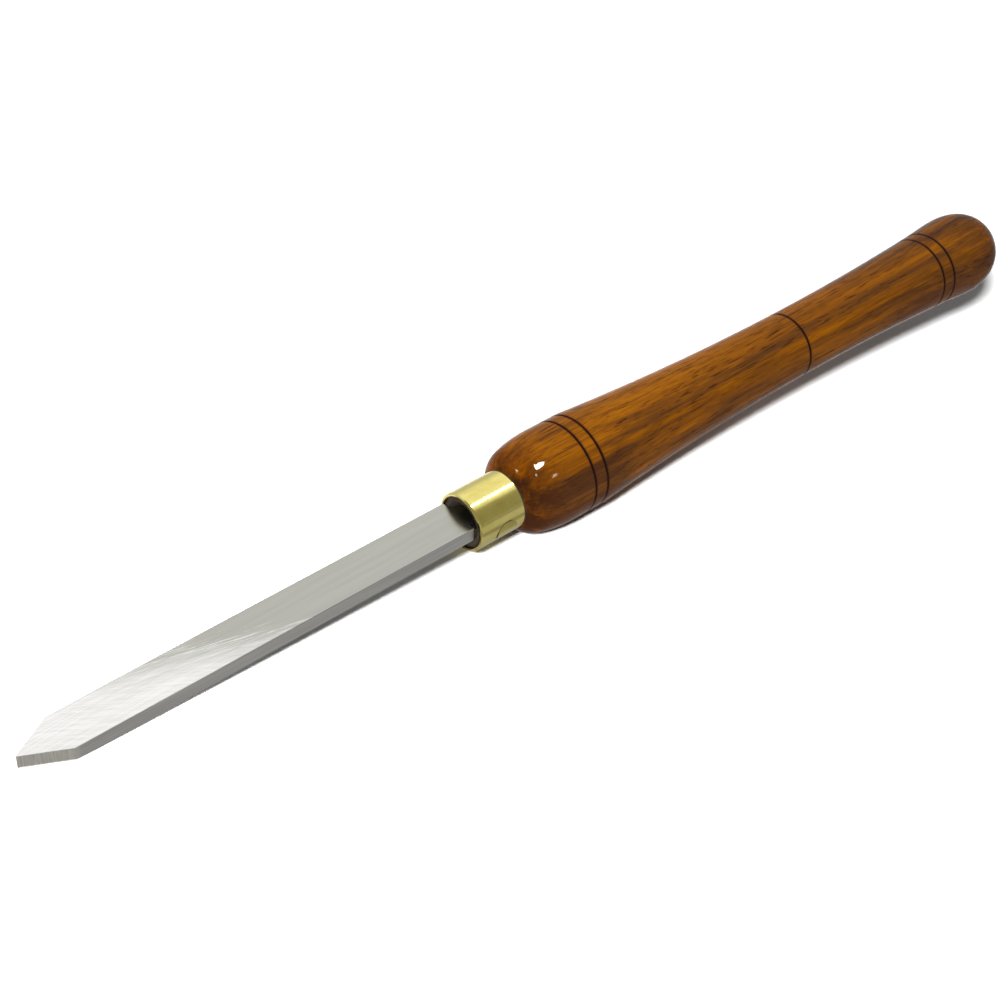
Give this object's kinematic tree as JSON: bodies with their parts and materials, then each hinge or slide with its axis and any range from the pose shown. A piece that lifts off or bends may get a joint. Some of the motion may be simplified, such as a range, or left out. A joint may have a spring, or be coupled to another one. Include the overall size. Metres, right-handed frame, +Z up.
{
  "type": "lathe parting tool",
  "caption": "Woodturner's parting tool: a flat steel bar ground to a two-sided point, set in a long turned hardwood handle with a brass ferrule.",
  "frame": {"origin": "middle of the tool's outer box in plan, on the bench plane that the tool lies on", "axes": "+X along the tool from the ground point towards the butt, level with the bench; +Z up; +Y across the blade"},
  "size_m": [0.5314, 0.0414, 0.0604],
  "materials": {
    "blade": "satin",
    "ferrule": "polished",
    "handle": "gloss"
  },
  "bodies": {
    "root": {"blade": "blade", "ferrule": "ferrule", "handle": "handle"}
  },
  "joints": []
}
